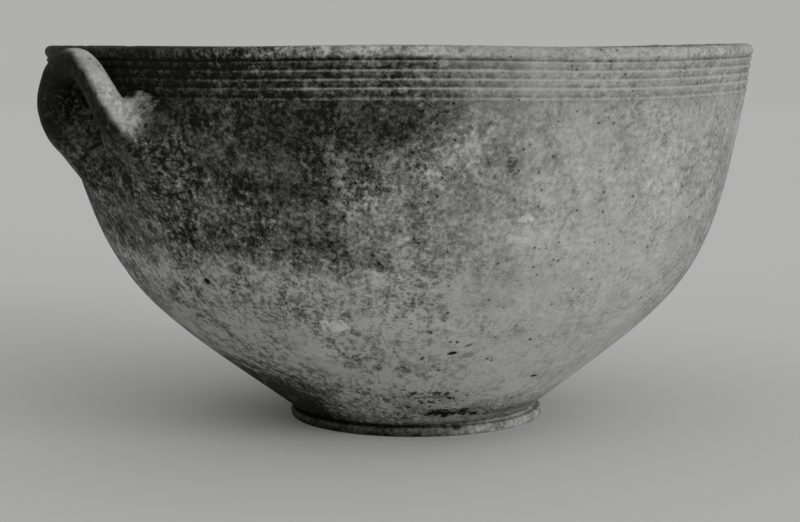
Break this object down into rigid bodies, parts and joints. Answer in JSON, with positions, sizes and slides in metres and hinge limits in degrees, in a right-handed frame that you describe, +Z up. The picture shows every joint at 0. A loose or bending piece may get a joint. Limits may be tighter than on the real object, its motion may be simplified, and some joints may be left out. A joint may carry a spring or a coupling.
{
  "type": "handled bowl",
  "caption": "Deep round ceramic bowl with a grooved band under its lip, a low ring foot and upright loop handles, for mixing, holding and serving food.",
  "frame": {"origin": "on the standing plane, straight below the centre of the lip", "axes": "+Z up, out of the bowl's mouth; +X from the left handle to the right handle"},
  "size_m": [0.326, 0.3001, 0.161],
  "materials": {
    "body": "worn matt slip, mottled",
    "foot": "worn matt slip over pale clay",
    "handle": "worn matt slip, rubbed pale",
    "wad": "worn matt slip, mottled"
  },
  "bodies": {
    "root": {"bowl_body": "body", "foot_ring": "foot", "left_handle": "handle", "right_handle": "handle", "left_front_wad": "wad", "left_back_wad": "wad", "right_front_wad": "wad", "right_back_wad": "wad"}
  },
  "joints": []
}
